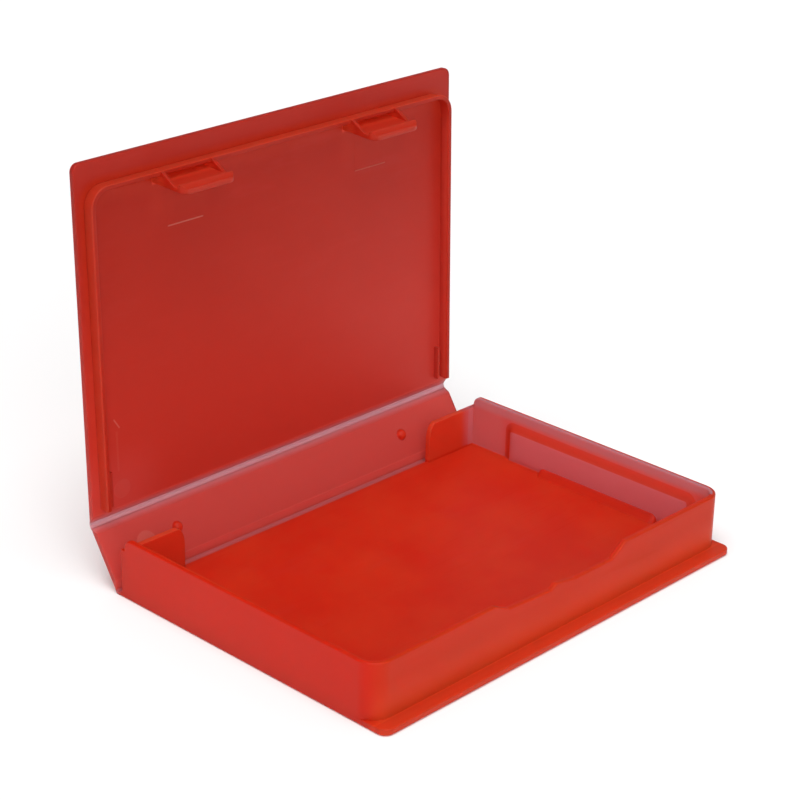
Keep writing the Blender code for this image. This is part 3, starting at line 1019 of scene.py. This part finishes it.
# painted light in a hook's pocket and at its root, and on the lid before it where its shade falls
latchPocket = [("fromHook", 8.4, 7.8), ("along", 77.4, 78.2)]
latchLayers = [
    ("glow", 1.05, ["pocket"], ("along", 81.2, 80.6), ("raised", 0.9, 0.3), ["open"]),
    ("latchTone", 1, ["pocket"], ("along", 81.2, 80.6), ("raised", 0.2, 1.0)),
    ("glow", 0.95, ["pocket"], ("along", 80.5, 79.9), ("raised", 0.2, 0.6), ("raised", 5.0, 1.6)),
    ("glow", 0.10, ("fromHook", 11.0, 6.0), ("along", 78.2, 77.4), ("along", 66.0, 75.0), ["seen"]),
]
# the tongue painted lighter towards its tip, a painted highlight
barbLayers = [("barb", 1, ("raised", 4.0, 10.0))]
# a painted highlight on the hook tips, and a pale disc on the ejector mark
tipHighlightAndDiscLayers = [("scuff", 0.07, ("raised", 10.5, 10.9)), ("scuff", 0.05, ["disc"], ["seen"])]
lidTone = {
    "milky": (20.0, 85.0, 0.7),         # where the painted sheen fades along the lid, and by how much
    "crease": 0.1,
    "pocketOuter": 0.15,
    # strengths of the painted highlights along the fine ridges by the two hooks
    "hookMarks": (0.55, 0.28),
    "hookMarkHalf": 0.22,
    # pale stripes: start, end, half width, strength
    "paleStripes": [((8.2, 11.6), (8.2, 21.6), 0.4, 0.05), ((7.5, 24.8), (9.1, 22.3), 0.25, 0.35)],
}


def lidZones(desk, read, colour):
    readPanel(desk, read, lid["disc"])
    # a painted sheen towards the right, fading along the lid
    start, full, faded = lidTone["milky"]
    read["milky"] = 1 - desk.step(read["along"], start, full) * faded
    # how far outside the rim
    middle, radius = inMm(case["halfLength"]), inMm(lid["rimCorner"])
    offAcross = desk.sum("ABSOLUTE", read["across"] - middle) - (inMm(lid["rimSide"]) - radius)
    read["beside"] = desk.outside(offAcross, read["along"] - (inMm(lid["rimFront"]) - radius), radius)
    read["crease"] = desk.sum("ABSOLUTE", read["beside"] - lidTone["crease"])
    read["rimTone"] = desk.paint(read, red["side"], rimLayers)
    read["latchTone"] = desk.paint(read, red["latch"], barbLayers)
    read["open"] = read["seen"] - lidTone["pocketOuter"]
    colour = desk.paint(read, colour, lidLayers)

    spread = inMm(hook["spacing"]) / 2
    left, right, at = (inMm(value) for value in (*hook["markFromMiddle"], hook["markAt"]))
    marks = []
    for centre, strength in zip((middle - spread, middle + spread), lidTone["hookMarks"]):
        read["fromHook"] = desk.sum("ABSOLUTE", read["across"] - centre)
        read["pocket"] = desk.cover(read, latchPocket)
        colour = desk.paint(read, colour, latchLayers)
        marks.append(((centre + left, at), (centre + right, at), lidTone["hookMarkHalf"], strength))
    colour = desk.paint(read, colour, tipHighlightAndDiscLayers)
    # painted highlights along the fine ridges by the hooks, then the pale stripes
    for start, end, halfWidth, strength in marks + lidTone["paleStripes"]:
        read["stripe"] = desk.stripe(read, start, end, halfWidth)
        colour = desk.paint(read, colour, [("scuff", strength, ["stripe"], ["seen"])])
    return colour


# it ends this shy of the panels' ends
band = {"reach": 0.00105, "thickness": 0.00034, "shy": 0.00002, "steps": 12}


def hingeBand(fromDeg, toDeg):
    # a thin strip that turns from one panel's direction to the next one's, hinge line at the origin
    half, thick = case["halfLength"] - band["shy"], band["thickness"]
    upper, lower = [], []
    for step in range(band["steps"] + 1):
        share = step / band["steps"]
        travel = band["reach"] * (2 * share - 1)
        turn = math.radians(fromDeg + (toDeg - fromDeg) * (3 * share * share - 2 * share ** 3))
        start = math.radians(fromDeg if travel < 0 else toDeg)
        y, z = travel * math.cos(start), travel * math.sin(start)
        upper.append((y - thick / 2 * math.sin(turn), z + thick / 2 * math.cos(turn)))
        lower.append((y + thick / 2 * math.sin(turn), z - thick / 2 * math.cos(turn)))
    outline = lower + upper[::-1]
    return ringsMesh("hingeBand", [[(x, y, z) for y, z in outline] for x in (-half, half)])


trayRed = mouldedRed("trayPolypropylene", trayZones, "body", "deep")
spineRed = mouldedRed("spinePolypropylene", spineZones, "spine", "spine", (16.7, 2.8, 0.50))
lidRed = mouldedRed("lidPolypropylene", lidZones, "lidHead", "lidHead", (0.5, 1.9, 0.34))
trayBandRed = mouldedRed("trayHingePolypropylene", None, "pale", "pale", (0.0, 0.9, 0.20))
lidBandRed = mouldedRed("lidHingePolypropylene", None, "pale", "pale", (0.0, 1.2, 0.85))
print("finishes made")

trayMeshes = [trayFloor(), trayWall(), trayReturn(-1), trayReturn(1), floorRib()] + frontCatches()
trayShell = addPiece("trayShell", weld("trayShell", trayMeshes), Matrix.Identity(4), trayAlong, trayRed)
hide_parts("tray", "floor_rib", "left_catch", "right_catch")
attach(trayShell, "tray")
print("tray made:", len(trayShell.data.polygons), "faces")

spineMeshes = [ringsMesh("spinePanel", panelRings(case["spineWidth"]))]
spineMeshes.append(repeated("studs", studDome(), spine["studSpacing"], spineRed))
spineMeshes.append(lowDisc(*spine["disc"]))
spineShell = addPiece("spineShell", weld("spineShell", spineMeshes), spinePlace, panelAlong, spineRed)
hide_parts("spine_panel", "left_stud", "right_stud")
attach(spineShell, "spine")
print("spine made:", len(spineShell.data.polygons), "faces")

lidMeshes = [ringsMesh("lidPanel", panelRings(case["lidDepth"], lid["cornerRadius"]))]
lidMeshes += [lidRim(lidRed), stayRib(-1), stayRib(1)]
lidMeshes.append(repeated("latchHooks", latchHook(), hook["spacing"], lidRed))
lidMeshes.append(repeated("hookMarks", hookMark(), hook["spacing"], lidRed))
lidMeshes.append(lowDisc(*lid["disc"]))
lidShell = addPiece("lidShell", weld("lidShell", lidMeshes), lidPlace, panelAlong, lidRed)
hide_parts("lid_panel", "lid_rim", "left_stay_rib", "right_stay_rib", "left_hook", "right_hook")
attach(lidShell, "lid")
print("lid made:", len(lidShell.data.polygons), "faces")

spineRise, lidRise = case["spineRise"], case["lidRise"]
bands = [
    ("trayHingeBand", "tray_hinge_web", "tray", "spine", trayLine, 0.0, spineRise, trayBandRed),
    ("lidHingeBand", "lid_hinge_web", "spine", "lid", lidLine, spineRise, lidRise, lidBandRed),
]
for name, node, before, after, line, fromDeg, toDeg, finish in bands:
    piece = addPiece(name, hingeBand(fromDeg, toDeg), Matrix.Translation(line), panelAlong, finish)
    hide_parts(node)
    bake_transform(piece)
print("hinge bands made")

shot = {
    "azimuth": -46.45,
    "elevation": 23.66,
    "roll": 1.20,
    "lens": 100.593,
    "sensor": 36.0,
    "nearest": 0.01,
    "place": (-0.34596, -0.31751, 0.25022),
}
studio = {
    "floorShade": 0.92,
    "floorRoughness": 0.9,
    "floorReach": 30.0,
    "floorLevel": -0.0002,
    "world": 0.30,
    "over": 2.35,
    "overFrom": (-0.25, -0.15, 1.0),
    "overSoft": 50.0,         # degrees
    "front": 1.15,
    "frontFrom": (-0.7, -1.1, 0.55),
    "frontSoft": 40.0,
}


def addCamera():
    around, above, roll = (math.radians(shot[key]) for key in ("azimuth", "elevation", "roll"))
    back = Vector((math.sin(around) * math.cos(above), -math.cos(around) * math.cos(above), math.sin(above)))
    right = Vector((math.cos(around), math.sin(around), 0))
    up = back.cross(right)
    rolledRight = right * math.cos(roll) + up * math.sin(roll)
    rolledUp = up * math.cos(roll) - right * math.sin(roll)
    camera = addObject("camera", bpy.data.cameras.new("camera"))
    camera.data.lens = shot["lens"]
    camera.data.sensor_width = shot["sensor"]
    camera.data.clip_start = shot["nearest"]
    rows = list(zip(rolledRight, rolledUp, back, shot["place"]))
    camera.matrix_world = Matrix(rows + [(0, 0, 0, 1)])
    bpy.context.scene.camera = camera


def addFloor():
    mesh = bpy.data.meshes.new("floor")
    reach, level, shade = studio["floorReach"], studio["floorLevel"], studio["floorShade"]
    corners = [(-reach, -reach), (reach, -reach), (reach, reach), (-reach, reach)]
    mesh.from_pydata([(x, y, level) for x, y in corners], [], [(0, 1, 2, 3)])
    desk = FinishDesk("paleFloor")
    paint = {"Base Color": (shade, shade, shade, 1), "Roughness": studio["floorRoughness"]}
    shader = desk.add("ShaderNodeBsdfPrincipled", {}, paint)
    desk.add("ShaderNodeOutputMaterial", {}, {"Surface": shader})
    mesh.materials.append(desk.material)
    floor = addObject("floor", mesh)


def addSun(name, fromWhere, soft, power):
    light = bpy.data.lights.new(name, "SUN")
    light.angle = math.radians(soft)
    light.energy = power
    holder = addObject(name, light)
    holder.rotation_mode = "QUATERNION"
    holder.rotation_quaternion = (-Vector(fromWhere)).to_track_quat("-Z", "Y")


def addWorld():
    world = bpy.data.worlds.new("studio")
    world.use_nodes = True
    background = world.node_tree.nodes["Background"]
    background.inputs[0].default_value = (1, 1, 1, 1)
    background.inputs[1].default_value = studio["world"]
    bpy.context.scene.world = world


addCamera()
addFloor()
addWorld()
addSun("overheadLight", studio["overFrom"], studio["overSoft"], studio["over"])
addSun("frontLight", studio["frontFrom"], studio["frontSoft"], studio["front"])
bpy.context.scene.view_settings.view_transform = "Standard"
print("camera, floor and lights set")
